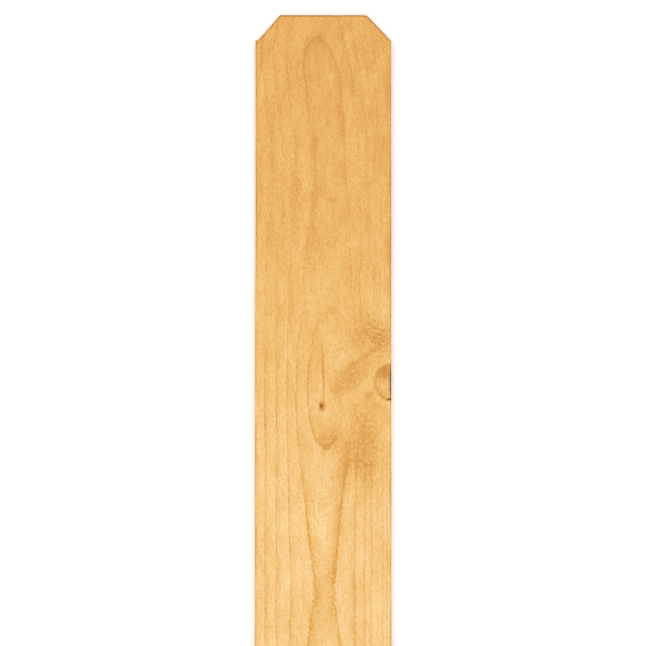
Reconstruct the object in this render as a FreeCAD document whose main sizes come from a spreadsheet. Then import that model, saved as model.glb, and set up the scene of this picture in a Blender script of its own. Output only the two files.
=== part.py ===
# Dog-ear fence picket: one rough-sawn softwood board with its two top corners cut off.
#
# The board lies on its back face. +X runs across it, +Y runs along it from the square butt end to
# the eared top end, and +Z is its thickness. The origin is the middle of the back face.
import FreeCAD
import Part
import Sketcher
import os

# Driving dimensions, in millimetres.
SIZES = {
    "board_length": 1828.8,   # 6 ft, butt end to top end
    "board_width": 139.7,     # 5-1/2 in, edge to edge
    "board_thickness": 15.9,  # 5/8 in, back face to front face
    "ear_run": 25.0,          # corner cut, measured across the board
    "ear_drop": 26.5,         # corner cut, measured down the edge
    "arris": 0.5,             # worn edge all round both faces
}
PARTS_FOLDER = "parts"
START, END = 1, 2             # point numbers of a sketch line
ORIGIN_POINT = (-1, 1)        # the sketch's own origin
FLAT = 1e-6                   # how closely a point has to lie on a face, in mm


def write_sizes(doc):
    """The spreadsheet of driving dimensions, one aliased cell each."""
    sheet = doc.addObject("Spreadsheet::Sheet", "sizes")
    for row, (name, value) in enumerate(SIZES.items(), start=1):
        sheet.set(f"A{row}", name)
        sheet.set(f"B{row}", str(value))
        sheet.setAlias(f"B{row}", name)
    doc.recompute()
    return sheet


def origin_plane(body, role):
    """One of the body's own origin planes, such as XY_Plane."""
    return next(plane for plane in body.Origin.OriginFeatures if plane.Role == role)


def flat_sketch(body, name):
    """An empty sketch on the board's back face."""
    sketch = body.newObject("Sketcher::SketchObject", name)
    sketch.AttachmentSupport = (origin_plane(body, "XY_Plane"), "")
    sketch.MapMode = "FlatFace"
    return sketch


def closed_outline(sketch, corners):
    """Joins the corners with lines and ties each line's end to the next line's start."""
    points = [FreeCAD.Vector(x, y, 0) for x, y in corners]
    following = points[1:] + points[:1]
    for start, end in zip(points, following):
        sketch.addGeometry(Part.LineSegment(start, end), False)
    for line in range(len(points)):
        next_line = (line + 1) % len(points)
        sketch.addConstraint(Sketcher.Constraint("Coincident", line, END, next_line, START))


def bind(sketch, constraint, name, expression):
    """Adds a named dimension whose value follows the spreadsheet."""
    index = sketch.addConstraint(constraint)
    sketch.renameConstraint(index, name)
    sketch.setExpression(f"Constraints.{name}", expression)


def sawn_blank(body, sizes):
    """The board as it comes off the saw: a rectangle centred on the origin, padded up."""
    half_width = sizes.board_width / 2
    half_length = sizes.board_length / 2
    outline = flat_sketch(body, "BlankOutline")
    closed_outline(outline, [
        (-half_width, -half_length),
        (half_width, -half_length),
        (half_width, half_length),
        (-half_width, half_length),
    ])
    butt, right, top, left = range(4)
    for line in (butt, top):
        outline.addConstraint(Sketcher.Constraint("Horizontal", line))
    for line in (right, left):
        outline.addConstraint(Sketcher.Constraint("Vertical", line))
    outline.addConstraint(Sketcher.Constraint("Symmetric", butt, START, top, START, *ORIGIN_POINT))
    bind(outline, Sketcher.Constraint("DistanceX", butt, START, butt, END, sizes.board_width),
         "across", "sizes.board_width")
    bind(outline, Sketcher.Constraint("DistanceY", right, START, right, END, sizes.board_length),
         "along", "sizes.board_length")

    blank = body.newObject("PartDesign::Pad", "SawnBlank")
    blank.Profile = outline
    blank.setExpression("Length", "sizes.board_thickness")
    return blank


def ear_cut(body, sizes):
    """The triangle sawn off the right-hand top corner, through the whole thickness."""
    edge = sizes.board_width / 2
    end = sizes.board_length / 2
    offcut = flat_sketch(body, "EarOffcut")
    closed_outline(offcut, [
        (edge, end),
        (edge - sizes.ear_run, end),
        (edge, end - sizes.ear_drop),
    ])
    along_end, cut, along_edge = range(3)
    offcut.addConstraint(Sketcher.Constraint("Horizontal", along_end))
    offcut.addConstraint(Sketcher.Constraint("Vertical", along_edge))
    bind(offcut, Sketcher.Constraint("DistanceX", *ORIGIN_POINT, along_end, START, edge),
         "edge_place", "sizes.board_width / 2")
    bind(offcut, Sketcher.Constraint("DistanceY", *ORIGIN_POINT, along_end, START, end),
         "end_place", "sizes.board_length / 2")
    bind(offcut, Sketcher.Constraint("DistanceX", cut, START, along_end, START, sizes.ear_run),
         "run", "sizes.ear_run")
    bind(offcut, Sketcher.Constraint("DistanceY", cut, END, along_end, START, sizes.ear_drop),
         "drop", "sizes.ear_drop")

    pocket = body.newObject("PartDesign::Pocket", "RightEar")
    pocket.Profile = offcut
    pocket.Type = "ThroughAll"
    pocket.Reversed = True
    return pocket


def other_ear(body, right_ear):
    """The left-hand ear, mirrored across the board's middle."""
    mirrored = body.newObject("PartDesign::Mirrored", "LeftEar")
    mirrored.Originals = [right_ear]
    mirrored.MirrorPlane = (origin_plane(body, "YZ_Plane"), [""])
    body.Tip = mirrored
    return mirrored


def face_edges(shape):
    """Names of the edges that run round the back face and the front face."""
    levels = (shape.BoundBox.ZMin, shape.BoundBox.ZMax)
    return [
        f"Edge{number}"
        for number, edge in enumerate(shape.Edges, start=1)
        if any(all(abs(v.Z - level) < FLAT for v in edge.Vertexes) for level in levels)
    ]


def worn_arris(body, board):
    """The small flat that handling leaves along every edge of both faces."""
    arris = body.newObject("PartDesign::Chamfer", "WornArris")
    arris.Base = (board, face_edges(board.Shape))
    arris.setExpression("Size", "sizes.arris")
    body.Tip = arris
    return arris


def make_picket(doc, sizes):
    """The whole picket as one body."""
    body = doc.addObject("PartDesign::Body", "Picket")
    body.Label = "picket"
    sawn_blank(body, sizes)
    right_ear = ear_cut(body, sizes)
    doc.recompute()
    board = other_ear(body, right_ear)
    doc.recompute()
    worn_arris(body, board)
    doc.recompute()
    return body


def check(doc, bodies):
    """Stops the build if any feature failed or any body is not one sound solid."""
    for thing in doc.Objects:
        if {"Invalid", "Error"} & set(thing.State):
            raise RuntimeError(f"{thing.Name} failed: {thing.State}")
    for body in bodies:
        shape = body.Shape
        if shape.isNull() or not shape.isValid() or len(shape.Solids) != 1:
            raise RuntimeError(f"{body.Label} is not one valid solid")


def main():
    doc = FreeCAD.newDocument("FencePicket")
    sizes = write_sizes(doc)
    bodies = [make_picket(doc, sizes)]
    check(doc, bodies)
    os.makedirs(PARTS_FOLDER, exist_ok=True)
    for body in bodies:
        body.Shape.exportStep(os.path.join(PARTS_FOLDER, f"{body.Label}.step"))
        box = body.Shape.BoundBox
        print(f"{body.Label}: {box.XLength:.2f} x {box.YLength:.2f} x {box.ZLength:.2f} mm, "
              f"{body.Shape.Volume / 1000:.1f} cm3, {len(body.Shape.Faces)} faces")


main()
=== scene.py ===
"""Dog-ear fence picket: one rough-sawn softwood board with both top corners cut off.

The board lies on its back face. +X runs across it, +Y along it to the eared top end, and +Z through
its thickness. Mesh sizes are in metres. Inside the materials, places are in millimetres: across the
board from its middle, below its top end, and under its front face.
"""

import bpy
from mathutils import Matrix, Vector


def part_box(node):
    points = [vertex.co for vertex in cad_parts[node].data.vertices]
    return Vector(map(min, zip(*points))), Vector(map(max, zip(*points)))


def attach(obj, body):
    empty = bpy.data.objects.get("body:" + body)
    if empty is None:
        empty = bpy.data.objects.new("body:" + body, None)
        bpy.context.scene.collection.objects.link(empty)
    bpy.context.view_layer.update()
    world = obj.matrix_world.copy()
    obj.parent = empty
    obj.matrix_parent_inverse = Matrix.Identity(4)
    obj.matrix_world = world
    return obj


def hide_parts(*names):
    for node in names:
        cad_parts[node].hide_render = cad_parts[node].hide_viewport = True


bl_info = {
    "name": "Fence Picket",
    "version": (1, 0, 0),
    "blender": (4, 5, 0),
    "location": "3D Viewport > Sidebar > Picket",
    "description": "Makes a rough-sawn dog-ear fence picket and a plain studio around it",
    "category": "Add Mesh",
}

import math

import bpy
import numpy as np
from bpy.props import FloatProperty, FloatVectorProperty, PointerProperty
from mathutils import Vector

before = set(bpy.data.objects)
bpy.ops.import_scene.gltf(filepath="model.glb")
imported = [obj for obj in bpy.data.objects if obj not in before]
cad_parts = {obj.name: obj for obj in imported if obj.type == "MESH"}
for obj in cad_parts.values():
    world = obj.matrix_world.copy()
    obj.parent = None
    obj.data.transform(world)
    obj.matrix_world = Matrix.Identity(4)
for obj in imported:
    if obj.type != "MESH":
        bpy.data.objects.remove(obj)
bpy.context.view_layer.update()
LOW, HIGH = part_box("picket")
MM = 0.001
LENGTH_MM = (HIGH.y - LOW.y) / MM


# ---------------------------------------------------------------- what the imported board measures

def board_facts():
    """Half width, ear run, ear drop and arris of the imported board, read from its corners."""
    corners = np.array([v.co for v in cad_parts["picket"].data.vertices])
    near = 1e-5
    at_top = corners[corners[:, 1] > HIGH.y - near]
    at_side = corners[corners[:, 0] > HIGH.x - near]
    at_face = corners[corners[:, 2] > HIGH.z - near]
    return {
        "half_width": HIGH.x,
        "ear_run": HIGH.x - at_top[:, 0].max(),
        "ear_drop": HIGH.y - at_side[:, 1].max(),
        "arris": HIGH.x - at_face[:, 0].max(),
    }


# ---------------------------------------------------------------- what a user would change

def length(name, description, default):
    return FloatProperty(
        name=name, description=description, default=default, min=0.0, precision=5, unit="LENGTH"
    )


def colour(name, description, default):
    return FloatVectorProperty(
        name=name, description=description, default=default, min=0.0, max=1.0, size=3,
        subtype="COLOR",
    )


class PicketSawing(bpy.types.PropertyGroup):
    """How the board was sawn, and how finely its mesh follows that."""

    ripple_pitch: length("Ripple pitch", "From one saw ripple on the faces to the next", 0.0062)
    ripple_depth: length("Ripple depth", "Depth of the saw ripples on the faces", 0.00010)
    fuzz_depth: length("Fuzz depth", "Roughness of the sawn faces between ripples", 0.00006)
    edge_waver: length("Edge waver", "How far the long edges wander in from straight", 0.00035)
    torn_depth: length("Torn depth", "Depth of the small tears along the arrises", 0.00055)
    nick_drop: length("Nick drop", "How far below the top end the left ear breaks off", 0.0238)
    nick_depth: length("Nick depth", "How far the break cuts in behind the ear's line", 0.0020)
    cell_across: length("Cell across", "Mesh pitch across the faces", 0.0030)
    cell_along: length("Cell along", "Mesh pitch along the knotty upper part", 0.00125)
    cell_plain: length("Cell along, plain", "Mesh pitch along the plain lower part", 0.0056)
    fine_length: length("Fine length", "How much of the board has the finer pitch", 0.665)


class PicketTimber(bpy.types.PropertyGroup):
    """The timber: its growth rings and its colours."""

    ring_width: length("Ring width", "One year's growth", 0.0030)
    pith_depth: length("Pith depth", "From the front face to the middle of the tree", 0.124)
    bright: colour("Bright wood", "Palest early wood", (0.847, 0.604, 0.298))
    early: colour("Early wood", "Pale wood between the ring lines", (0.788, 0.504, 0.200))
    middle: colour("Middle wood", "The board's mean colour", (0.742, 0.432, 0.133))
    late: colour("Late wood", "Ring lines", (0.652, 0.324, 0.079))
    knot: colour("Knot wood", "Knots and resin", (0.410, 0.148, 0.018))
    # The ramp also darkens the arrises towards this colour, for their dirt and painted shade.
    bark: colour("Bark", "Bark in the knot and dirt in the tears", (0.070, 0.022, 0.008))


class PicketStudio(bpy.types.PropertyGroup):
    """The floor, the light and the camera."""

    floor: colour("Floor", "Colour of the plain floor", (0.96, 0.96, 0.96))
    sky_strength: FloatProperty(
        name="Sky strength", description="Even light from all round", default=0.5, min=0.0
    )
    softbox_power: FloatProperty(
        name="Softbox power", description="Power of the large light overhead", default=780.0,
        min=0.0, subtype="POWER",
    )
    side_power: FloatProperty(
        name="Side light power", description="Power of the low light that shows the sawn texture",
        default=9.0, min=0.0, subtype="POWER",
    )
    lens: FloatProperty(
        name="Lens", description="Focal length", default=85.0, min=1.0, subtype="DISTANCE_CAMERA"
    )
    view_width: length("View width", "How much of the front face's plane the camera sees", 0.6573)
    view_below_top: length("View centre", "How far below the top end the camera looks", 0.3134)


# ---------------------------------------------------------------- noise for the mesh

def soft_noise(u, v, seed):
    """Smooth random height from -1 to 1 over a plane, with bumps about one unit apart."""
    table = np.random.default_rng(seed).uniform(-1, 1, (512, 512))
    low_u = np.floor(u).astype(int)
    low_v = np.floor(v).astype(int)
    share_u = u - low_u
    share_v = v - low_v
    share_u = share_u * share_u * (3 - 2 * share_u)
    share_v = share_v * share_v * (3 - 2 * share_v)

    def corner(du, dv):
        return table[(low_u + du) % 512, (low_v + dv) % 512]

    near = corner(0, 0) * (1 - share_u) + corner(1, 0) * share_u
    far = corner(0, 1) * (1 - share_u) + corner(1, 1) * share_u
    return near * (1 - share_v) + far * share_v


def bump_at(value, middle, reach):
    """1 at a place, falling smoothly to nothing about two reaches away."""
    return np.exp(-(((value - middle) / reach) ** 2))


def fading(value, start, end):
    """1 up to the start, falling evenly to nothing at the end."""
    return np.clip((end - value) / (end - start), 0, 1)


# ---------------------------------------------------------------- the board's mesh

LAYER_PITCH = 3 * MM          # mesh pitch through the thickness
KNOT_ACROSS = 70.5 * MM       # middle of the edge knot, from the board's middle
KNOT_BELOW = 374 * MM         # and below the top end
KNOT_REACH = 17.5 * MM        # its half size
PIN_ACROSS = -1.2 * MM        # the pin knot
PIN_BELOW = 398 * MM
PIN_REACH = 2.6 * MM


def spaced(total, edge_steps, pitch):
    """Places from 0 to total: the fine steps at both ends, and even ones about a pitch apart."""
    inner = total - 2 * edge_steps[-1]
    count = max(2, round(inner / pitch))
    middle = edge_steps[-1] + inner * np.arange(1, count) / count
    return np.concatenate([edge_steps, middle, total - np.array(edge_steps)[::-1]])


def rows_below_top(sawing, facts):
    """Where the mesh is cut across, as distances below the top end."""
    total = HIGH.y - LOW.y
    fine = np.arange(0.0016, sawing.fine_length, sawing.cell_along)
    plain_count = round((total - sawing.fine_length - 0.002) / sawing.cell_plain)
    plain = np.linspace(sawing.fine_length, total - 0.002, plain_count)
    rows = np.concatenate([[0, 0.0004, 0.0009], fine, plain, [total - 0.001, total - 0.0004, total]])
    for corner in (sawing.nick_drop, facts["ear_drop"]):
        rows[np.argmin(abs(rows - corner))] = corner
    return rows


def edge_inset(below, height, side, sawing):
    """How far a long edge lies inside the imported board, at places below the top and above the back."""
    far = below / 0.19 + 40 * side
    waver = sawing.edge_waver * (0.5 + 0.5 * soft_noise(far, np.zeros_like(far), 11))
    rough = soft_noise(below / 0.0026 + 90 * side, height / 0.004 + 7, 12)
    coarse = soft_noise(below / 0.011 + 33 * side, height / 0.009 + 5, 13)
    ragged = 0.5 + 0.9 * (side > 0) * bump_at(below, 0.30, 0.07)
    inset = waver + 0.00010 * ragged * (1 + rough) + 0.00009 * (1 + coarse)
    if side < 0:
        inset = inset + 0.0004 * fading(below, 0.595, 0.68) + 0.0005 * fading(below, 0.24, 0.30)
    else:
        inset = inset + 0.0003 * fading(below, 0, 0.3)
    return inset


def torn(below, side, sawing):
    """Depth of the small tears along one arris: a few deep ones among many slight ones."""
    steps = soft_noise(below / 0.0021 + 211 * side, np.full_like(below, 3.5), 21)
    often = soft_noise(below / 0.037 + 17 * side, np.full_like(below, 8.5), 22)
    return sawing.torn_depth * np.clip(steps * 1.2 - 0.35 + 0.3 * often, 0, 1)


def knot_void(below, height):
    """Depth of the slight hollow where the knot meets the right edge."""
    lip = bump_at(below, KNOT_BELOW + 0.001, 0.0135) ** 2
    ragged = 0.75 + 0.5 * soft_noise(below / 0.0035, height / 0.004, 31)
    return 0.0001 * np.clip(lip * 1.6, 0, 1) * ragged


def face_inset(across, below, sawing, front):
    """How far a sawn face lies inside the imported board."""
    slant = below + 0.05 * across + 0.0012 * soft_noise(across / 0.06, below / 0.09, 41 + front)
    depth = 0.55 + 0.45 * soft_noise(across / 0.11, below / 0.05, 43 + front)
    ripple = np.sin(slant * math.tau / sawing.ripple_pitch)
    inset = sawing.ripple_depth * depth * (0.5 + 0.5 * ripple)
    fuzz = soft_noise(across / 0.003, below / 0.0045, 45 + front)
    inset = inset + sawing.fuzz_depth * (1 + fuzz)
    if front:
        inset = inset + knot_relief(across, below)
    return inset


def knot_relief(across, below):
    """The knots' own relief on the front face: torn curly grain, a proud heart and a sunk pin knot."""
    away = np.hypot(across - KNOT_ACROSS, below - KNOT_BELOW) / KNOT_REACH
    collar = 0.00016 * bump_at(away, 1.05, 0.10)
    curl = bump_at(across, 0.062, 0.016) * bump_at(below, 0.325, 0.016)
    tear = soft_noise(across / 0.0026 + 9, below / 0.0031, 51)
    check = bump_at(below, KNOT_BELOW + 0.0163, 0.0008) * bump_at(across, 0.0672, 0.0026)
    pin = np.hypot((across - PIN_ACROSS) / 0.6, below - PIN_BELOW) / PIN_REACH
    return (
        collar + 0.00016 * curl * (1 + tear) + 0.0006 * check + 0.0005 * bump_at(pin, 0, 0.8)
    )


class BoardLattice:
    """The skin of a block of cells: columns across, layers through the thickness, rows along."""

    def __init__(self, columns, layers, rows):
        self.columns = columns
        self.layers = layers
        self.rows = rows
        last_column = columns - 1
        last_layer = layers - 1
        ring = [(i, 0) for i in range(columns)]
        ring += [(last_column, j) for j in range(1, layers)]
        ring += [(i, last_layer) for i in range(last_column - 1, -1, -1)]
        ring += [(0, j) for j in range(last_layer - 1, 0, -1)]
        self.ring = np.array(ring)
        self.place = {spot: k for k, spot in enumerate(ring)}
        self.inner = [(i, j) for j in range(1, last_layer) for i in range(1, last_column)]

    def vertex(self, column, layer, row):
        """The number of the vertex at a place on the skin."""
        spot = (column, layer)
        if spot in self.place:
            return row * len(self.ring) + self.place[spot]
        cap = 0 if row == 0 else 1
        start = self.rows * len(self.ring) + cap * len(self.inner)
        return start + self.inner.index(spot)

    def side_faces(self):
        """Quads round every pair of rows."""
        count = len(self.ring)
        here = np.arange(count)
        after = (here + 1) % count
        row = np.arange(self.rows - 1)[:, None] * count
        quads = np.stack([row + here, row + after, row + count + after, row + count + here], -1)
        return quads.reshape(-1, 4)

    def cap_faces(self, row):
        """Quads over the end at a row."""
        at = {}
        for i in range(self.columns):
            for j in range(self.layers):
                at[i, j] = self.vertex(i, j, row)
        quads = []
        for i in range(self.columns - 1):
            for j in range(self.layers - 1):
                quad = [at[i, j], at[i + 1, j], at[i + 1, j + 1], at[i, j + 1]]
                quads.append(quad if row else quad[::-1])
        return np.array(quads)


def outline(below, facts, sawing):
    """The left and right half widths at distances below the top end, with the ears cut off."""
    narrow = facts["half_width"] - facts["ear_run"]
    drop = facts["ear_drop"]
    right = np.interp(below, [0, drop], [narrow, facts["half_width"]])
    straight = narrow + facts["ear_run"] * sawing.nick_drop / drop
    left = np.interp(
        below, [0, sawing.nick_drop, drop],
        [narrow, straight - sawing.nick_depth, facts["half_width"]],
    )
    return left, right


def board_points(lattice, shares, rows, facts, sawing):
    """The vertices of the sawn board, and each one's distance from the nearest arris."""
    column_shares, layer_shares = shares
    ring = np.tile(lattice.ring, (len(rows), 1))
    caps = np.array(lattice.inner)
    spots = np.concatenate([ring, caps, caps])
    below = np.repeat(rows, len(lattice.ring))
    below = np.concatenate([below, np.full(len(caps), rows[0]), np.full(len(caps), rows[-1])])
    column = spots[:, 0]
    layer = spots[:, 1]
    thick = HIGH.z - LOW.z
    height = layer_shares[layer] * thick
    total = rows[-1]

    left, right = outline(below, facts, sawing)
    arris_depth = np.minimum(height, thick - height)
    at_arris = np.exp(-((arris_depth / 0.0012) ** 2))
    left = left - edge_inset(below, height, -1, sawing) - at_arris * torn(below, -1, sawing)
    right = right - edge_inset(below, height, 1, sawing) - at_arris * torn(below, 1, sawing)
    right = right - knot_void(below, height) * np.clip(height / thick * 1.7 - 0.5, 0, 1)
    across = column_shares[column] * (left + right) - left

    front = face_inset(across, below, sawing, True)
    back = face_inset(across, below, sawing, False)
    up = back + layer_shares[layer] * (thick - front - back)

    end = np.minimum(below, total - below)
    rough = soft_noise(across / 0.0032 + 60 * (below > 0.1), height / 0.0032, 61)
    chips = torn(across + 0.5 + (below > 0.1), 0.5, sawing) * at_arris
    end_inset = 0.00012 * (1 + rough) + 0.9 * chips
    along = below + np.where(below < total / 2, 1, -1) * end_inset * np.exp(-end / 0.002)

    side = np.minimum(across + left, right - across)
    gaps = np.sort([side, arris_depth, end], axis=0)
    turned = (gaps[1] < 1e-7) * 0.35 * facts["arris"]
    on_side = (column == 0) | (column == lattice.columns - 1)
    on_face = (layer == 0) | (layer == lattice.layers - 1)
    across = across - np.sign(across) * turned * on_side
    up = up - np.sign(up - thick / 2) * turned * on_face
    along = along + np.sign(total / 2 - below) * turned * (end < 1e-7)
    points = np.stack([across, HIGH.y - along, LOW.z + up], 1)
    return points, gaps[1]


MAP_GAP = 0.004               # between the strips of the bake map, as a share of its width
FRONT_STRIP = 0.285           # each half of the front face, across
BACK_STRIP = 0.150
EDGE_STRIP = 0.020
STRIP_HEIGHT = 0.945
CAP_STRIP = 0.018             # height of each end's strip


def bake_map_corners(lattice, shares, rows):
    """Map places of every side face's corners: the long skin as strips, each in two halves."""
    columns = lattice.columns - 1
    layers = lattice.layers - 1
    split = int(np.argmin(abs(rows - rows[-1] / 2)))
    parts = [
        (columns, shares[0], BACK_STRIP),
        (layers, shares[1], EDGE_STRIP),
        (columns, shares[0], FRONT_STRIP),
        (layers, shares[1], EDGE_STRIP),
    ]
    starts = []
    spans = []
    edge = MAP_GAP
    for count, places, width in parts:
        step = np.diff(places) if len(starts) < 2 * columns + layers else np.diff(places)[::-1]
        marks = np.concatenate([[0], np.cumsum(step)])
        for k in range(count):
            starts.append(edge + width * marks[k])
            spans.append(width * step[k])
        edge += 2 * (width + MAP_GAP)
    starts = np.array(starts)
    spans = np.array(spans)
    widths = np.repeat([part[2] for part in parts], [part[0] for part in parts]) + MAP_GAP

    top_half = np.arange(lattice.rows - 1) < split
    start = np.where(top_half, 0, rows[split])
    reach = np.where(top_half, rows[split], rows[-1] - rows[split])
    high = (rows[:-1] - start) / reach
    low = (rows[1:] - start) / reach
    shift = np.where(top_half, 0, 1)[:, None] * widths
    near = starts + shift
    far = near + spans
    high = np.broadcast_to(high[:, None], near.shape) * STRIP_HEIGHT + MAP_GAP
    low = np.broadcast_to(low[:, None], near.shape) * STRIP_HEIGHT + MAP_GAP
    corners = np.stack([near, high, far, high, far, low, near, low], -1)
    return corners.reshape(-1, 2)


def cap_map_corners(lattice, shares, second):
    """Map places of an end's face corners: a strip above the long ones."""
    base = STRIP_HEIGHT + 3 * MAP_GAP + second * (CAP_STRIP + MAP_GAP)
    u = MAP_GAP + 0.9 * shares[0]
    v = base + CAP_STRIP * shares[1]
    corners = []
    for i in range(lattice.columns - 1):
        for j in range(lattice.layers - 1):
            quad = [(u[i], v[j]), (u[i + 1], v[j]), (u[i + 1], v[j + 1]), (u[i], v[j + 1])]
            corners += quad if second else quad[::-1]
    return np.array(corners)


def face_finishes(lattice, rows, facts):
    """The material number of every side face: faces, long edges, and end grain on the ear cuts."""
    columns = lattice.columns - 1
    layers = lattice.layers - 1
    round_ring = np.repeat([0, 1, 0, 1], [columns, layers, columns, layers])
    finishes = np.tile(round_ring, (lattice.rows - 1, 1))
    in_ears = rows[1:] < facts["ear_drop"] + 1e-6
    finishes[in_ears[:, None] & (round_ring == 1)] = 2
    return finishes.ravel()


MOTTLE_TONE = 2.2             # how strongly the wood clouds paler and darker by itself
# The places that stand out on the front face: (across, below the top end) and (half width,
# half length) in millimetres, turn, tone.
BLOTCHES = (
    # shade at the head of the board, and down its right edge
    ((-2, 21), (7, 4), 0, -7),
    ((-14, 24), (4, 4), 0, -9),
    ((67, 90), (4, 70), 0, -7),
    # pale and dark bands beside the heart of the grain
    ((-10, 128), (4, 22), 0.06, -7),
    ((-19, 148), (5.5, 34), 0, 7),
    ((58, 166), (7, 34), 0, 5),
    ((9, 176), (5, 22), 0, 5),
    ((-9, 176), (3.5, 24), 0, -9),
    ((-12, 235), (4, 26), -0.08, -5),
    ((62, 305), (5, 24), 0, 8),
    # the browner curl over the knot, the pale wood beside it and the shade under it
    ((55, 328), (19, 15), 0, -12),
    ((26, 346), (11, 6), -0.3, 7),
    ((56, 388), (9, 14), 0, -14),
    # the brown arm below the knot, its foot, and the brown end of the ring's arc
    ((38, 437), (16, 38), -0.3, -27),
    ((47, 469), (10, 13), 0, -18),
    ((9, 431), (12, 18), 0.25, -16),
    # the pale heart, its dark waist line, and the paler left side
    ((1, 408), (4, 9), 0.5, 6),
    ((-2, 512), (10, 38), 0, 11),
    ((17.5, 510), (4, 66), -0.08, -3),
    ((-38, 480), (24, 90), 0, 3),
)


def blotch_tones(points):
    """How much paler or darker the broad places make each vertex."""
    across = points[:, 0] / MM
    below = (HIGH.y - points[:, 1]) / MM
    under = (HIGH.z - points[:, 2]) / MM
    across = across + 1.8 * soft_noise(across / 6, below / 10, 71)
    below = below + 2.5 * soft_noise(across / 6, below / 10, 72)
    clouds = soft_noise(across / 7 + under / 6, below / 45, 73)
    clouds = clouds + 0.6 * soft_noise(across / 3.4 + under / 4, below / 24, 74)
    total = MOTTLE_TONE * clouds
    for (middle, drop), (half_width, half_length), turn, tone in BLOTCHES:
        off = across - middle
        down = below - drop
        wide = (off * math.cos(turn) - down * math.sin(turn)) / half_width
        long = (off * math.sin(turn) + down * math.cos(turn)) / half_length
        total += tone * np.exp(-(wide ** 2 + long ** 2 + (under / 7) ** 2))
    return total


def board_mesh(sawing):
    """The whole sawn board as one closed mesh of quads."""
    facts = board_facts()
    width_steps = [0, 0.0005, 0.0012, 0.0022, 0.0036, 0.0056]
    layer_steps = [0, 0.0005, 0.0015, 0.0034]
    width = 2 * facts["half_width"]
    thick = HIGH.z - LOW.z
    shares = (
        spaced(width, width_steps, sawing.cell_across) / width,
        spaced(thick, layer_steps, LAYER_PITCH) / thick,
    )
    rows = rows_below_top(sawing, facts)
    lattice = BoardLattice(len(shares[0]), len(shares[1]), len(rows))
    points, rim = board_points(lattice, shares, rows, facts, sawing)
    quads = np.concatenate([lattice.side_faces(), lattice.cap_faces(0), lattice.cap_faces(len(rows) - 1)])

    mesh = bpy.data.meshes.new("picket_board")
    mesh.from_pydata(points.tolist(), [], quads.tolist())
    caps = (lattice.columns - 1) * (lattice.layers - 1) * 2
    finishes = np.concatenate([face_finishes(lattice, rows, facts), np.full(caps, 2)])
    mesh.polygons.foreach_set("material_index", finishes.astype(np.int32))
    mesh.polygons.foreach_set("use_smooth", np.ones(len(quads), bool))
    for name, values in (("rim", rim / MM), ("blotch", blotch_tones(points))):
        attribute = mesh.attributes.new(name, "FLOAT", "POINT")
        attribute.data.foreach_set("value", values.astype(np.float32))
    places = np.concatenate([
        bake_map_corners(lattice, shares, rows),
        cap_map_corners(lattice, shares, 0),
        cap_map_corners(lattice, shares, 1),
    ])
    layer = mesh.uv_layers.new(name="OFBake")
    layer.uv.foreach_set("vector", places.astype(np.float32).ravel())
    mesh.update()
    if mesh.validate():
        raise RuntimeError("the board's mesh had faulty faces")
    return mesh


# ---------------------------------------------------------------- laying out nodes

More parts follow.
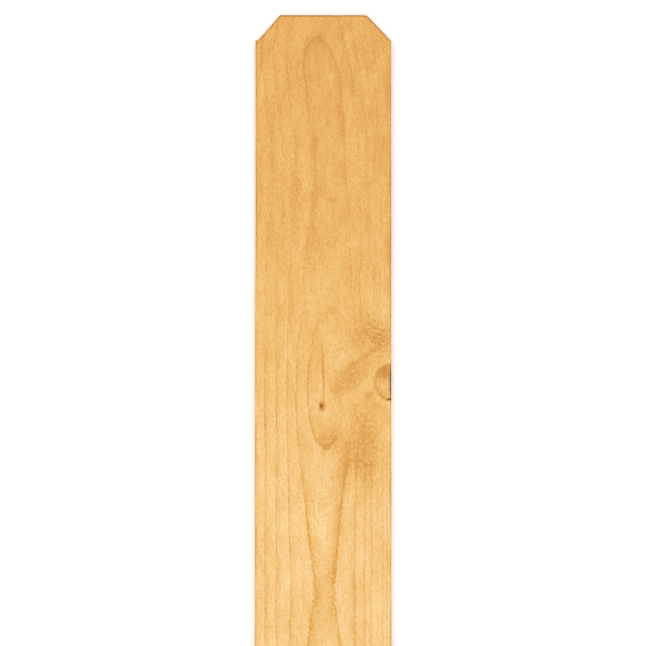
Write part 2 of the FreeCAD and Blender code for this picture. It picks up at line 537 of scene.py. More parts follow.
class Layout:
    """Adds nodes to one tree, with a short call for each kind."""

    def __init__(self, tree):
        self.tree = tree
        self.count = 0

    def node(self, kind, **settings):
        """A node of a kind, placed after the last one."""
        made = self.tree.nodes.new(kind)
        for name, value in settings.items():
            setattr(made, name, value)
        made.location = (200 * (self.count % 14), -260 * (self.count // 14))
        self.count += 1
        return made

    def feed(self, socket, value):
        """Links a socket to another, or gives it a plain value."""
        if isinstance(value, bpy.types.NodeSocket):
            self.tree.links.new(value, socket)
        else:
            socket.default_value = value

    def math(self, operation, *values, clamp=False):
        """A Math node's result."""
        made = self.node("ShaderNodeMath", operation=operation, use_clamp=clamp)
        for socket, value in zip(made.inputs, values):
            self.feed(socket, value)
        return made.outputs[0]

    def add(self, *values):
        """The sum of two or more values."""
        total = values[0]
        for value in values[1:]:
            total = self.math("ADD", total, value)
        return total

    def times(self, *values):
        """The product of two or more values."""
        product = values[0]
        for value in values[1:]:
            product = self.math("MULTIPLY", product, value)
        return product

    def blend(self, first, second, share):
        """The first value where share is 0, the second where it is 1."""
        made = self.node("ShaderNodeMix", data_type="FLOAT")
        self.feed(made.inputs["Factor"], share)
        self.feed(made.inputs["A"], first)
        self.feed(made.inputs["B"], second)
        return made.outputs["Result"]

    def vector(self, operation, *values):
        """A Vector Math node's result."""
        made = self.node("ShaderNodeVectorMath", operation=operation)
        for socket, value in zip(made.inputs, values):
            self.feed(socket, value)
        return made.outputs["Value"] if operation == "LENGTH" else made.outputs["Vector"]

    def split(self, vector):
        """A vector's three parts."""
        made = self.node("ShaderNodeSeparateXYZ")
        self.feed(made.inputs[0], vector)
        return made.outputs[0], made.outputs[1], made.outputs[2]

    def join(self, *parts):
        """A vector from its three parts."""
        made = self.node("ShaderNodeCombineXYZ")
        for socket, value in zip(made.inputs, parts):
            self.feed(socket, value)
        return made.outputs[0]

    def noise(self, place, size, detail=0.0):
        """Noise from about -1 to 1, with lumps of a size across, along and through the board."""
        made = self.node("ShaderNodeTexNoise")
        self.feed(made.inputs["Vector"], self.vector("DIVIDE", place, size))
        made.inputs["Scale"].default_value = 1.0
        made.inputs["Detail"].default_value = detail
        return self.math("MULTIPLY_ADD", made.outputs[0], 4.0, -2.0)

    def slow_noise(self, value, size, seed):
        """Noise from about -1 to 1 along one direction."""
        made = self.node("ShaderNodeTexNoise", noise_dimensions="1D")
        self.feed(made.inputs["W"], self.math("MULTIPLY_ADD", value, 1 / size, seed))
        made.inputs["Scale"].default_value = 1.0
        made.inputs["Detail"].default_value = 0.0
        return self.math("MULTIPLY_ADD", made.outputs[0], 4.0, -2.0)

    def draw(self, value, seed):
        """A random number from 0 to 1 for each whole number."""
        made = self.node("ShaderNodeTexWhiteNoise", noise_dimensions="1D")
        self.feed(made.inputs["W"], self.math("ADD", value, seed))
        return made.outputs["Value"]

    def curve(self, value, points, low, high):
        """A smooth curve through points, read at a value. low and high are its lowest and highest."""
        made = self.node("ShaderNodeFloatCurve")
        first = points[0][0]
        span = points[-1][0] - first
        line = made.mapping.curves[0]
        while len(line.points) < len(points):
            line.points.new(0.5, 0.5)
        for point, (at, height) in zip(line.points, points):
            point.location = ((at - first) / span, (height - low) / (high - low))
            point.handle_type = "AUTO_CLAMPED"
        made.mapping.update()
        share = self.math("MULTIPLY_ADD", value, 1 / span, -first / span)
        self.feed(made.inputs["Value"], share)
        return self.math("MULTIPLY_ADD", made.outputs[0], high - low, low)

    def ease(self, value, start, end):
        """0 before start, 1 after end, and smooth between."""
        made = self.node("ShaderNodeMapRange", interpolation_type="SMOOTHSTEP")
        for name, given in (("Value", value), ("From Min", start), ("From Max", end)):
            self.feed(made.inputs[name], given)
        return made.outputs[0]

    def bell(self, value, middle, reach):
        """1 at the middle, falling smoothly to nothing about two reaches away."""
        away = self.math("DIVIDE", self.math("SUBTRACT", value, middle), reach)
        return self.math("EXPONENT", self.math("MULTIPLY", self.math("MULTIPLY", away, away), -1.0))

    def ramp(self, value, stops):
        """A colour ramp through stops of place and colour."""
        made = self.node("ShaderNodeValToRGB")
        elements = made.color_ramp.elements
        while len(elements) < len(stops):
            elements.new(0.5)
        for element, (at, tint) in zip(elements, stops):
            element.position = at
            element.color = (*tint, 1.0)
        self.feed(made.inputs[0], value)
        return made.outputs[0]

    def group(self, tree, **values):
        """A node group with its own values; an underscore stands for a space in a socket's name."""
        made = self.node("ShaderNodeGroup", node_tree=tree)
        for name, value in values.items():
            self.feed(made.inputs[name.replace("_", " ")], value)
        return made.outputs


def new_group(name, inputs, outputs):
    """An empty node group: its layout, its inputs by name and its outputs by name."""
    tree = bpy.data.node_groups.new(name, "ShaderNodeTree")
    kinds = {float: "NodeSocketFloat", tuple: "NodeSocketVector"}
    for label, default in inputs.items():
        made = tree.interface.new_socket(
            name=label, in_out="INPUT", socket_type=kinds[type(default)]
        )
        made.default_value = default
    for label, kind in outputs.items():
        tree.interface.new_socket(name=label, in_out="OUTPUT", socket_type="NodeSocket" + kind)
    nodes = Layout(tree)
    given = nodes.node("NodeGroupInput").outputs
    result = nodes.node("NodeGroupOutput").inputs
    return tree, nodes, given, result


# ---------------------------------------------------------------- node groups of the timber

# Where the middle of the rings runs, as (below the top end, across), in millimetres.
PITH_WANDER = (
    (0, -6), (25, -5.2), (66, 0.2), (97, 3.2), (137, 7.1), (188, 8.3), (239, 7.2), (280, 8),
    (298, 10), (340, 9.5), (385, 8), (422, 4), (453, 2.4), (493, 1.2), (585, 1.5), (680, 2),
)
# How the ring that meets the face there changes, as (below the top end, rings).
RING_DRIFT = (
    (0, 0.30), (23, 0), (38, -0.24), (66, -0.43), (97, -0.43), (137, -0.33), (188, -0.43),
    (229, -0.67), (272, -0.88), (299, -0.99), (306, -1.17), (318, -1.36), (340, -1.52),
    (375, -1.72), (405, -1.5), (430, -1.15), (448, -0.9), (470, -0.66), (493, -0.45),
    (535, -0.29), (585, -0.12), (612, -0.2), (680, -0.6),
)
# How plainly the ring lines show down the board.
RINGS_SHOWN = (
    (0, 0.6), (40, 0.6), (110, 0.38), (230, 0.38), (300, 0.42), (340, 0.6), (400, 1), (680, 1),
)
OUTER_WANDER = 3.0            # what both settle to in the outer wood below the upper third
OUTER_DRIFT = -0.55
# How dark a year's growth is, from its start to its end.
YEAR_TONE = ((0, 0.10), (0.04, 0), (0.5, 0.05), (0.78, 0.25), (0.9, 0.5), (0.965, 1), (1, 0.95))


def board_place_group():
    """Millimetres across from the middle, below the top end, and under the front face."""
    tree, nodes, given, result = new_group(
        "Board Place", {"Point": (0.0, 0.0, 0.0)}, {"Place": "Vector"}
    )
    from_corner = nodes.vector("SUBTRACT", given["Point"], (0.0, HIGH.y, HIGH.z))
    place = nodes.vector("MULTIPLY", from_corner, (1 / MM, -1 / MM, -1 / MM))
    nodes.feed(result["Place"], place)
    return tree


def patch_group():
    """A soft oval mask at a place in the board, turned and leaning as a branch does."""
    tree, nodes, given, result = new_group(
        "Patch",
        {
            "Place": (0.0, 0.0, 0.0), "Centre": (0.0, 0.0, 0.0), "Reach": (10.0, 10.0, 10.0),
            "Turn": 0.0, "Lean": 0.0, "Sharpness": 2.0,
        },
        {"Mask": "Float", "Away": "Float"},
    )
    off = nodes.vector("SUBTRACT", given["Place"], given["Centre"])
    across, below, under = nodes.split(off)
    across = nodes.add(across, nodes.times(under, given["Lean"]))
    turned = nodes.node("ShaderNodeVectorRotate", rotation_type="Z_AXIS")
    nodes.feed(turned.inputs["Vector"], nodes.join(across, below, under))
    nodes.feed(turned.inputs["Angle"], given["Turn"])
    away = nodes.vector("LENGTH", nodes.vector("DIVIDE", turned.outputs[0], given["Reach"]))
    fall = nodes.math("MULTIPLY", nodes.math("POWER", away, given["Sharpness"]), -1.0)
    nodes.feed(result["Mask"], nodes.math("EXPONENT", fall))
    nodes.feed(result["Away"], away)
    return tree


def growth_rings_group():
    """The tree's yearly rings through the whole board, bent by what pulls at them."""
    tree, nodes, given, result = new_group(
        "Growth Rings",
        {
            "Place": (0.0, 0.0, 0.0), "Pull": 0.0, "Calm": 0.0, "Ring Width": 3.0,
            "Pith Depth": 124.0, "Wobble": 0.6,
        },
        {"Late": "Float"},
    )
    place = given["Place"]
    across, below, under = nodes.split(place)
    wander = nodes.curve(below, PITH_WANDER, -20, 20)
    drift = nodes.curve(below, RING_DRIFT, -2, 1)
    plain = nodes.ease(below, 640.0, 800.0)
    wander = nodes.add(wander, nodes.times(nodes.slow_noise(below, 210, 3.3), plain, 7.0))
    drift = nodes.add(drift, nodes.times(nodes.slow_noise(below, 160, 8.1), plain, 0.9))
    outer = nodes.math("POWER", nodes.math("DIVIDE", nodes.math("ABSOLUTE", across), 33.0), 4.0)
    outer = nodes.math("SUBTRACT", 1.0, nodes.math("EXPONENT", nodes.times(outer, -1.0)))
    outer = nodes.times(outer, nodes.ease(below, 190.0, 330.0))
    wander = nodes.blend(wander, OUTER_WANDER, outer)
    drift = nodes.blend(drift, OUTER_DRIFT, outer)
    wobble = nodes.noise(place, (14.0, 46.0, 14.0), 1.0)
    side = nodes.math("SUBTRACT", across, wander)
    side = nodes.add(side, nodes.times(wobble, given["Wobble"]))
    side = nodes.times(side, nodes.math("MULTIPLY_ADD", side, 1 / 400, 1.0))
    depth = nodes.math("SUBTRACT", given["Pith Depth"], under)
    radius = nodes.vector("LENGTH", nodes.join(side, depth, 0.0))
    grown = nodes.math("SUBTRACT", radius, given["Pith Depth"])
    ring = nodes.math("DIVIDE", grown, given["Ring Width"])
    feather = nodes.noise(place, (1.3, 7.0, 1.3), 1.0)
    ring = nodes.add(ring, drift, nodes.times(feather, 0.022))
    ring = nodes.math("SUBTRACT", ring, given["Pull"])
    year = nodes.math("FLOOR", ring)
    share = nodes.math("FRACT", ring)
    tone = nodes.curve(share, YEAR_TONE, 0, 1)
    strength = nodes.math("MULTIPLY_ADD", nodes.draw(year, 0.37), 0.55, 0.62)
    patchy = nodes.math("MULTIPLY_ADD", nodes.noise(place, (9.0, 24.0, 9.0), 1.0), 0.35, 1.0)
    dots = nodes.math("MULTIPLY_ADD", nodes.noise(place, (1.6, 3.6, 1.6), 1.0), 0.5, 1.0)
    late = nodes.times(tone, strength, patchy, dots)
    false_at = nodes.math("MULTIPLY_ADD", nodes.draw(year, 5.21), 0.4, 0.3)
    false_line = nodes.bell(share, false_at, 0.035)
    late = nodes.add(late, nodes.times(false_line, nodes.draw(year, 9.4), 0.25))
    right_arm = nodes.times(nodes.ease(side, 0.0, 8.0), nodes.ease(below, 410.0, 465.0))
    right_arm = nodes.times(right_arm, nodes.ease(below, 625.0, 570.0))
    right_arm = nodes.add(right_arm, nodes.times(nodes.ease(below, 60.0, 36.0), 0.6))
    left_arm = nodes.times(nodes.ease(side, 0.0, -8.0), nodes.ease(below, 470.0, 550.0))
    arms = nodes.add(right_arm, nodes.times(left_arm, 0.5))
    broad = nodes.times(nodes.bell(ring, -0.05, 0.25), arms, patchy, 0.4)
    shown = nodes.times(nodes.curve(below, RINGS_SHOWN, 0, 1), nodes.add(late, broad))
    clear = nodes.math("SUBTRACT", 1.0, given["Calm"])
    nodes.feed(result["Late"], nodes.times(shown, clear))
    return tree


BRANCH_LEAN = 0.53            # how far a branch leans across the board for each unit of depth


# Where no ring line shows: round the edge knot, beneath it, beside the pin knot and at the foot of
# the ring's arc, as (across, below the top end), (half width, half length), share.
CALM_PLACES = (
    ((60, 372), (42, 52), 1.0),
    ((47, 426), (28, 33), 0.9),
    ((16, 360), (17, 28), 1.0),
    ((22, 413), (13, 29), 0.85),
)


def knots_group(patch):
    """The knot on the right edge and the pin knot: their pull on the rings, colour and curl."""
    tree, nodes, given, result = new_group(
        "Knots", {"Place": (0.0, 0.0, 0.0)},
        {"Pull": "Float", "Push": "Float", "Tone": "Float", "Curl": "Float", "Calm": "Float"},
    )
    place = given["Place"]
    ragged = nodes.noise(place, (4.0, 4.0, 6.0), 2.0)
    shifted = nodes.vector("ADD", place, nodes.join(nodes.times(ragged, 0.7), 0.0, 0.0))
    brush = nodes.noise(place, (2.2, 2.2, 2.2), 1.0)
    brushed = nodes.vector("ADD", place, nodes.join(nodes.times(brush, 2.5), 0.0, 0.0))

    def oval(centre, reach, lean=BRANCH_LEAN, turn=0.0, sharpness=2.0, where=shifted):
        made = nodes.group(
            patch, Place=where, Centre=(*centre, 0.0), Reach=(*reach, 1000.0), Turn=turn,
            Lean=lean, Sharpness=sharpness,
        )
        return made["Mask"], made["Away"]

    wide, _ = oval((72, 358), (46, 36), sharpness=2.4, where=place)
    close, _ = oval((72, 366), (20, 19), where=place)
    nodes.feed(result["Pull"], nodes.add(nodes.times(wide, 4.2), nodes.times(close, 2.0)))
    calm = 0.0
    for centre, reach, share in CALM_PLACES:
        quiet, _ = oval(centre, reach, sharpness=4.0)
        calm = nodes.math("MAXIMUM", calm, nodes.times(quiet, share))
    nodes.feed(result["Calm"], calm)
    push, _ = oval((76, 370), (42, 40), where=place)
    nodes.feed(result["Push"], nodes.times(push, 20.0))

    heart, away = oval((KNOT_ACROSS / MM, KNOT_BELOW / MM), (17.5, 17.5), sharpness=8.0)
    rind = nodes.bell(away, 1.0, 0.11)
    halo = nodes.bell(away, 1.26, 0.16)
    turns = nodes.math("SINE", nodes.math("MULTIPLY_ADD", away, 26.0, 1.0))
    red, _ = oval((62.5, 363), (8.5, 8.0))
    pale, _ = oval((61, 377), (6, 8))
    foot, _ = oval((47.5, 386), (4.5, 3.6), turn=0.5)
    fan, _ = oval((29, 369), (27, 11.0), turn=0.75, sharpness=3.0, where=brushed)
    fan_edge, _ = oval((38, 350), (24, 2.6), turn=0.62, sharpness=3.0, where=brushed)
    pin, _ = oval((PIN_ACROSS / MM, PIN_BELOW / MM), (2.0, 3.6), lean=0.0)
    pin_ring, _ = oval((PIN_ACROSS / MM, PIN_BELOW / MM), (4.2, 6.2), lean=0.0)
    resin, _ = oval((0.3, 366), (1.3, 30), lean=0.0, turn=0.045, sharpness=4.0)
    bark, _ = oval((68.9, 374.5), (0.9, 17.0), lean=0.0, sharpness=3.0)
    bark_depth = nodes.ease(nodes.split(place)[2], 5.5, 1.5)
    bark = nodes.times(bark, nodes.math("MULTIPLY_ADD", bark_depth, 0.72, 0.28))
    hook, _ = oval((67.4, 391.0), (3.0, 1.0), lean=0.0, turn=0.25, sharpness=3.0)
    marks = (
        (rind, -15.0), (halo, 11.0), (nodes.times(heart, turns), -5.0), (heart, -9.0),
        (red, -34.0), (pale, 14.0), (foot, -26.0), (fan, -17.0), (fan_edge, -15.0),
        (pin, -105.0), (pin_ring, -15.0), (resin, -28.0), (bark, -112.0), (hook, -112.0),
    )
    tone = nodes.add(*(nodes.times(mask, depth) for mask, depth in marks))
    nodes.feed(result["Tone"], tone)
    curl, _ = oval((56, 327), (17, 15), turn=-0.3, where=place)
    mottle, _ = oval((47, 448), (18, 22), where=place)
    curl = nodes.add(curl, nodes.times(mottle, 0.3), nodes.times(fan, 0.35))
    nodes.feed(result["Curl"], curl)
    return tree


def fibres_group():
    """Straight wood fibres that flow round a knot, and the fuzz that sawing leaves on them."""
    tree, nodes, given, result = new_group(
        "Fibres",
        {"Place": (0.0, 0.0, 0.0), "Push": 0.0, "Curl": 0.0, "Run": 1.0},
        {"Streak": "Float", "Speck": "Float", "Height": "Float"},
    )
    across, below, under = nodes.split(given["Place"])
    waves = nodes.noise(given["Place"], (5.0, 2.1, 5.0), 1.0)
    swirl = nodes.noise(given["Place"], (11.0, 30.0, 11.0), 0.0)
    across = nodes.add(
        across, given["Push"], nodes.times(waves, given["Curl"], 4.0), nodes.times(swirl, 0.8)
    )
    along = nodes.math("DIVIDE", below, given["Run"])
    flow = nodes.join(across, along, under)
    cloud = nodes.noise(flow, (24.0, 42.0, 24.0), 1.0)
    broad = nodes.noise(flow, (7.0, 30.0, 7.0), 1.0)
    middle = nodes.noise(flow, (2.7, 14.0, 2.7), 1.0)
    fine = nodes.noise(flow, (1.5, 5.0, 1.5), 0.0)
    fuzz = nodes.noise(flow, (1.15, 1.4, 1.15), 1.0)
    knurl = nodes.ease(nodes.noise(flow, (1.5, 3.4, 1.5), 0.0), -0.1, 0.55)
    knurl = nodes.times(knurl, given["Curl"], -13.0)
    dashes = nodes.ease(nodes.noise(flow, (1.5, 15.0, 1.5), 1.0), 0.45, 1.1)
    pits = nodes.ease(nodes.noise(flow, (1.5, 1.9, 1.5), 0.0), 0.85, 1.15)
    streak = nodes.add(
        nodes.times(cloud, 1.6), nodes.times(broad, 1.2), nodes.times(middle, 1.2),
        nodes.times(fine, 1.4), nodes.times(dashes, -4.2), nodes.times(pits, -8.0), knurl,
    )
    nodes.feed(result["Streak"], streak)
    rougher = nodes.math("MULTIPLY_ADD", given["Curl"], 1.3, 1.0)
    nodes.feed(result["Speck"], nodes.times(fuzz, rougher))
    nodes.feed(result["Height"], nodes.add(nodes.times(fine, 0.03), nodes.times(fuzz, 0.05)))
    return tree


def saw_marks_group():
    """Shallow ripples that the saw leaves across the board, uneven from one to the next."""
    tree, nodes, given, result = new_group(
        "Saw Marks",
        {"Place": (0.0, 0.0, 0.0), "Pitch": 2.1, "Slant": 0.06, "Depth": 0.03},
        {"Height": "Float", "Mark": "Float"},
    )
    across, below, under = nodes.split(given["Place"])
    wobble = nodes.noise(given["Place"], (34.0, 9.0, 30.0), 1.0)
    along = nodes.add(below, nodes.times(across, given["Slant"]), nodes.times(wobble, 0.9))
    wave = nodes.math("SINE", nodes.math("DIVIDE", nodes.times(along, math.tau), given["Pitch"]))
    patchy = nodes.ease(nodes.noise(given["Place"], (26.0, 40.0, 30.0), 0.0), -0.5, 0.9)
    mark = nodes.times(wave, patchy)
    nodes.feed(result["Mark"], mark)
    nodes.feed(result["Height"], nodes.times(mark, given["Depth"]))
    return tree


def edge_wear_and_shade_group():
    """Where handling, dirt and tearing darken the wood along its arrises, and where painted shade darkens
    it as the surface turns away.
    """
    tree, nodes, given, result = new_group(
        "Edge Wear And Shade",
        {"Place": (0.0, 0.0, 0.0), "Rim": 10.0, "Reach": 0.9, "Right Side": 1.0},
        {"Wear": "Float"},
    )
    across, below, under = nodes.split(given["Place"])
    uneven = nodes.noise(given["Place"], (1.6, 3.4, 1.6), 2.0)
    slow = nodes.noise(given["Place"], (40.0, 55.0, 40.0), 0.0)
    reach = nodes.math("MULTIPLY_ADD", uneven, 0.45, 1.0)
    reach = nodes.times(nodes.math("MAXIMUM", reach, 0.15), given["Reach"])
    # Darkest right at the arris: dirt there, and painted shade where the surface turns away.
    near = nodes.math("DIVIDE", given["Rim"], reach)
    wear_and_shade = nodes.math("EXPONENT", nodes.times(near, near, -1.0))
    right = nodes.ease(across, -10.0, 40.0)
    level = nodes.math("MULTIPLY_ADD", slow, 0.35, 0.33)
    right = nodes.times(right, nodes.ease(below, 190.0, 250.0))
    level = nodes.add(level, nodes.times(right, given["Right Side"], 0.15))
    level = nodes.add(level, nodes.times(nodes.ease(below, 31.0, 25.0), 0.9))
    nodes.feed(result["Wear"], nodes.times(wear_and_shade, level))
    return tree


# Broad tone down the board's length, as (below the top end, tone).
LENGTH_TONE = ((0, 185), (90, 187), (200, 189.5), (300, 195.5), (400, 202), (520, 207.5), (680, 211))
# Tones of the colour ramp: bark, knot, late, middle, early and bright wood.
RAMP_TONES = (60, 112, 174, 193, 206, 220)


def timber_tone_group(timber):
    """Adds up what lightens and darkens the wood, and gives it the timber's colours."""
    tree, nodes, given, result = new_group(
        "Timber Tone",
        {
            "Place": (0.0, 0.0, 0.0), "Late": 0.0, "Streak": 0.0, "Speck": 0.0, "Mark": 0.0,
            "Knots": 0.0, "Patches": 0.0, "Wear": 0.0, "Level": 0.0, "Late Depth": 17.0,
            "Streak Depth": 2.2, "Speck Depth": 2.4, "Mark Depth": 1.0, "Wear Depth": 42.0,
        },
        {"Color": "Color", "Dryness": "Float"},
    )
    across, below, under = nodes.split(given["Place"])
    tone = nodes.curve(below, LENGTH_TONE, 180, 215)
    # The Wear input darkens the arrises with dirt and painted shade.
    tone = nodes.add(
        tone, given["Level"], given["Knots"], given["Patches"],
        nodes.times(given["Late"], given["Late Depth"], -1.0),
        nodes.times(given["Streak"], given["Streak Depth"]),
        nodes.times(given["Speck"], given["Speck Depth"]),
        nodes.times(given["Mark"], given["Mark Depth"]),
        nodes.times(given["Wear"], given["Wear Depth"], -1.0),
    )
    tints = (timber.bark, timber.knot, timber.late, timber.middle, timber.early, timber.bright)
    stops = [(at / 255, tuple(tint)) for at, tint in zip(RAMP_TONES, tints)]
    plain = nodes.ramp(nodes.math("DIVIDE", tone, 255.0), stops)
    rosy = nodes.ease(nodes.noise(given["Place"], (30.0, 60.0, 30.0), 1.0), -0.6, 1.0)
    blush = nodes.node("ShaderNodeMix", data_type="RGBA", blend_type="MULTIPLY")
    nodes.feed(blush.inputs["Factor"], rosy)
    nodes.feed(blush.inputs["A"], plain)
    blush.inputs["B"].default_value = (1.0, 0.99, 1.05, 1.0)
    nodes.feed(result["Color"], blush.outputs["Result"])
    nodes.feed(result["Dryness"], nodes.math("DIVIDE", tone, 255.0))
    return tree


# ---------------------------------------------------------------- the timber's materials

# Thin streaks that stand out: (across, below the top end), (half width, half length), turn, tone.
STREAKS = (
    ((20.5, 108), (3, 32), 0.1, -7),
    ((-31, 178), (1.6, 38), -0.03, -8),
    ((67, 238), (3.2, 46), 0, -10),
    ((22, 420), (3, 10), 0, 4),
)


def streak_tone(nodes, patch, place):
    """The sum of what stands out by its tone, on and just under the front face."""
    total = nodes.node("ShaderNodeAttribute", attribute_name="blotch").outputs["Fac"]
    uneven = nodes.noise(place, (5.0, 9.0, 5.0), 2.0)
    place = nodes.vector("ADD", place, nodes.join(nodes.times(uneven, 2.0), uneven, 0.0))
    for centre, reach, turn, tone in STREAKS:
        made = nodes.group(
            patch, Place=place, Centre=(*centre, 0.0), Reach=(*reach, 7.0), Turn=float(turn)
        )
        total = nodes.add(total, nodes.times(made["Mask"], float(tone)))
    mottle = nodes.math("MULTIPLY_ADD", nodes.noise(place, (2.6, 4.6, 2.6), 2.0), 0.8, 1.0)
    return nodes.times(total, mottle)


def timber_groups(timber):
    """Every node group of the timber, built once."""
    patch = patch_group()
    return {
        "place": board_place_group(),
        "patch": patch,
        "rings": growth_rings_group(),
        "knots": knots_group(patch),
        "fibres": fibres_group(),
        "saw": saw_marks_group(),
        "wear_and_shade": edge_wear_and_shade_group(),
        "tone": timber_tone_group(timber),
    }


def empty_material(name):
    """A material with no nodes yet, and the layout to fill it."""
    material = bpy.data.materials.new(name)
    material.use_nodes = True
    material.node_tree.nodes.clear()
    return material, Layout(material.node_tree)


def surface(nodes, tint, roughness, specular):
    """The Principled shader, linked to the material's output."""
    shader = nodes.node("ShaderNodeBsdfPrincipled")
    nodes.feed(shader.inputs["Base Color"], tint)
    nodes.feed(shader.inputs["Roughness"], roughness)
    shader.inputs["Specular IOR Level"].default_value = specular
    output = nodes.node("ShaderNodeOutputMaterial")
    nodes.feed(output.inputs["Surface"], shader.outputs[0])
    return shader


def timber_material(name, groups, timber, ways):
    """One finish of the timber: the shared groups with this finish's own values."""
    material, nodes = empty_material(name)
    point = nodes.node("ShaderNodeTexCoord").outputs["Object"]
    place = nodes.group(groups["place"], Point=point)["Place"]
    knots = nodes.group(groups["knots"], Place=place)
    rings = nodes.group(
        groups["rings"], Place=place, Pull=knots["Pull"], Calm=knots["Calm"],
        Ring_Width=timber.ring_width / MM, Pith_Depth=timber.pith_depth / MM,
    )
    fibres = nodes.group(
        groups["fibres"], Place=place, Push=knots["Push"], Curl=knots["Curl"], Run=ways["run"]
    )
    saw = nodes.group(groups["saw"], Place=place, Pitch=ways["saw_pitch"], Depth=ways["saw_depth"])
    rim = nodes.node("ShaderNodeAttribute", attribute_name="rim").outputs["Fac"]
    # Dirt and painted shade along the arrises, which darken the tone and sink the relief there.
    wear_and_shade = nodes.group(groups["wear_and_shade"], Place=place, Rim=rim, Reach=ways["wear_and_shade_reach"])["Wear"]
    rays = 0.0
    if ways["rays"]:
        rays = end_rays(nodes, place, timber.pith_depth / MM, ways["rays"])
    tone = nodes.group(
        groups["tone"], Place=place, Late=rings["Late"], Streak=fibres["Streak"],
        Speck=fibres["Speck"], Mark=saw["Mark"], Knots=knots["Tone"],
        Patches=nodes.add(streak_tone(nodes, groups["patch"], place), rays), Wear=wear_and_shade,
        Level=ways["level"], Late_Depth=ways["late"], Streak_Depth=ways["streak"],
        Speck_Depth=ways["speck"], Wear_Depth=ways["wear_and_shade"],
    )
    relief = nodes.add(
        fibres["Height"], saw["Height"], nodes.times(rings["Late"], ways["ridge"]),
        nodes.times(wear_and_shade, -0.15),
    )
    bump = nodes.node("ShaderNodeBump")
    bump.inputs["Distance"].default_value = MM
    bump.inputs["Strength"].default_value = 1.0
    nodes.feed(bump.inputs["Height"], relief)
    roughness = nodes.math("MULTIPLY_ADD", tone["Dryness"], 0.35, 0.5)
    shader = surface(nodes, tone["Color"], roughness, 0.08)
    nodes.feed(shader.inputs["Normal"], bump.outputs[0])
    return material


def end_rays(nodes, place, pith_depth, strength):
    """Fine rays and small checks that run out from the middle of the tree across the end grain."""
    across, below, under = nodes.split(place)
    above_pith = nodes.math("SUBTRACT", pith_depth, under)
    angle = nodes.math("ARCTAN2", across, above_pith)
    sweep = nodes.join(nodes.times(angle, pith_depth), 0.0, under)
    fine = nodes.noise(sweep, (0.5, 1.0, 6.0), 1.0)
    check = nodes.ease(nodes.noise(sweep, (1.1, 1.0, 5.0), 0.0), 0.75, 1.1)
    return nodes.add(nodes.times(fine, strength), nodes.times(check, -8.0 * strength))


# The wear entries of each finish set the reach and darkness of the dirt and painted shade along its
# arrises.
SAWN_FACE = {
    "run": 1.0, "saw_pitch": 2.3, "saw_depth": 0.02, "wear_and_shade_reach": 1.3, "rays": 0.0,
    "level": 0.0, "late": 21.0, "streak": 3.5, "speck": 11.5, "wear_and_shade": 75.0, "ridge": 0.03,
}
SAWN_EDGE = {
    "run": 0.7, "saw_pitch": 1.8, "saw_depth": 0.03, "wear_and_shade_reach": 1.2, "rays": 0.0,
    "level": -3.0, "late": 22.0, "streak": 3.4, "speck": 11.0, "wear_and_shade": 50.0, "ridge": 0.03,
}
END_GRAIN = {
    "run": 1.0, "saw_pitch": 2.7, "saw_depth": 0.03, "wear_and_shade_reach": 1.0, "rays": 1.6,
    "level": -13.0, "late": 34.0, "streak": 1.0, "speck": 3.2, "wear_and_shade": 44.0, "ridge": 0.05,
}


# ---------------------------------------------------------------- the studio

def floor_material(studio):
    """A pale matt floor with a barely uneven surface."""
    material, nodes = empty_material("pale_floor")
    point = nodes.node("ShaderNodeTexCoord").outputs["Object"]
    uneven = nodes.noise(point, (0.4, 0.4, 0.4), 2.0)
    pale = tuple(studio.floor)
    duller = tuple(0.985 * part for part in pale)
    tint = nodes.ramp(nodes.math("MULTIPLY_ADD", uneven, 0.5, 0.5), ((0.0, duller), (1.0, pale)))
    surface(nodes, tint, 0.9, 0.1)
    return material


def floor_piece(studio):
    """A wide round floor just under the board."""
    rings = (0.0, 1.0, 3.0, 8.0, 20.0, 60.0)
    sides = 48
    points = [(0.0, 0.0, 0.0)]
    for radius in rings[1:]:
        for k in range(sides):
            turn = math.tau * k / sides
            points.append((radius * math.cos(turn), radius * math.sin(turn), 0.0))
    faces = [(0, 1 + k, 1 + (k + 1) % sides) for k in range(sides)]
    for ring in range(len(rings) - 2):
        inner = 1 + ring * sides
        for k in range(sides):
            after = (k + 1) % sides
            faces.append((inner + k, inner + sides + k, inner + sides + after, inner + after))
    mesh = bpy.data.meshes.new("floor")
    mesh.from_pydata(points, [], faces)
    mesh.materials.append(floor_material(studio))
    floor = bpy.data.objects.new("floor", mesh)
    floor.location.z = LOW.z - 0.0002
    bpy.context.scene.collection.objects.link(floor)
    return floor


def softbox(name, place, aim, size, power):
    """A square light at a place, turned to an aim."""
    light = bpy.data.lights.new(name, "AREA")
    light.shape = "SQUARE"
    light.size = size
    light.energy = power
    made = bpy.data.objects.new(name, light)
    made.location = place
    made.rotation_euler = (Vector(aim) - Vector(place)).to_track_quat("-Z", "Y").to_euler()
    bpy.context.scene.collection.objects.link(made)
    return made


def even_sky(strength):
    """White light from all round."""
    world = bpy.data.worlds.new("even_sky")
    world.use_nodes = True
    background = world.node_tree.nodes["Background"]
    background.inputs["Color"].default_value = (1.0, 1.0, 1.0, 1.0)
    background.inputs["Strength"].default_value = strength
    bpy.context.scene.world = world


def look_down(studio):
    """A camera straight above the board's upper part, with its top end up."""
    camera = bpy.data.cameras.new("camera")
    camera.lens = studio.lens
    camera.clip_end = 200.0
    reach = studio.view_width * studio.lens / camera.sensor_width
    made = bpy.data.objects.new("camera", camera)
    made.location = (0.0, HIGH.y - studio.view_below_top, HIGH.z + reach)
    bpy.context.scene.collection.objects.link(made)
    bpy.context.scene.camera = made


# ---------------------------------------------------------------- operators and panel

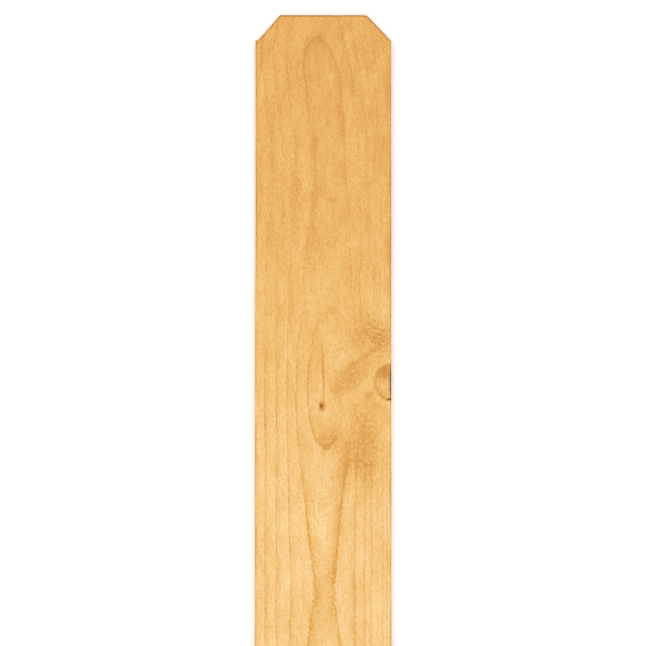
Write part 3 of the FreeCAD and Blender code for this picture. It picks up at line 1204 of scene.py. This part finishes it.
class PICKET_OT_board(bpy.types.Operator):
    """Make the sawn board, with its ears, knots and timber finishes"""

    bl_idname = "picket.board"
    bl_label = "Make Board"

    def execute(self, context):
        sawing = context.scene.picket_sawing
        timber = context.scene.picket_timber
        board = bpy.data.objects.new("picket_board", board_mesh(sawing))
        context.scene.collection.objects.link(board)
        groups = timber_groups(timber)
        for name, ways in (
            ("sawn_face", SAWN_FACE), ("sawn_edge", SAWN_EDGE), ("end_grain", END_GRAIN)
        ):
            board.data.materials.append(timber_material(name, groups, timber, ways))
        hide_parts("picket")
        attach(board, "root")
        return {"FINISHED"}


class PICKET_OT_studio(bpy.types.Operator):
    """Make the pale floor, the soft light and the camera"""

    bl_idname = "picket.studio"
    bl_label = "Make Studio"

    def execute(self, context):
        studio = context.scene.picket_studio
        floor_piece(studio)
        even_sky(studio.sky_strength)
        softbox("softbox", (0.0, 0.1, 10.0), (0.0, 0.1, 0.0), 8.0, studio.softbox_power)
        softbox("side_light", (-2.6, 2.4, 1.3), (0.0, 0.4, 0.0), 1.0, studio.side_power)
        look_down(studio)
        context.scene.view_settings.view_transform = "Standard"
        return {"FINISHED"}


class PICKET_PT_panel(bpy.types.Panel):
    """The picket's sizes, colours and operators"""

    bl_idname = "PICKET_PT_panel"
    bl_label = "Fence Picket"
    bl_space_type = "VIEW_3D"
    bl_region_type = "UI"
    bl_category = "Picket"

    def draw(self, context):
        column = self.layout.column()
        for operator in OPERATORS:
            column.operator(operator.bl_idname)
        for holder in SETTINGS:
            values = getattr(context.scene, holder)
            column.separator()
            for name in values.__annotations__:
                column.prop(values, name)


OPERATORS = (PICKET_OT_board, PICKET_OT_studio)
SETTINGS = {
    "picket_sawing": PicketSawing,
    "picket_timber": PicketTimber,
    "picket_studio": PicketStudio,
}
CLASSES = (*SETTINGS.values(), *OPERATORS, PICKET_PT_panel)


def register():
    """Adds the add-on's classes and its settings."""
    for made in CLASSES:
        bpy.utils.register_class(made)
    for name, group in SETTINGS.items():
        setattr(bpy.types.Scene, name, PointerProperty(type=group))


def unregister():
    """Takes the add-on's settings and classes away again."""
    for name in SETTINGS:
        delattr(bpy.types.Scene, name)
    for made in reversed(CLASSES):
        bpy.utils.unregister_class(made)


def main():
    """Makes everything in order."""
    register()
    bpy.ops.picket.board()
    bpy.ops.picket.studio()


if __name__ == "__main__":
    main()
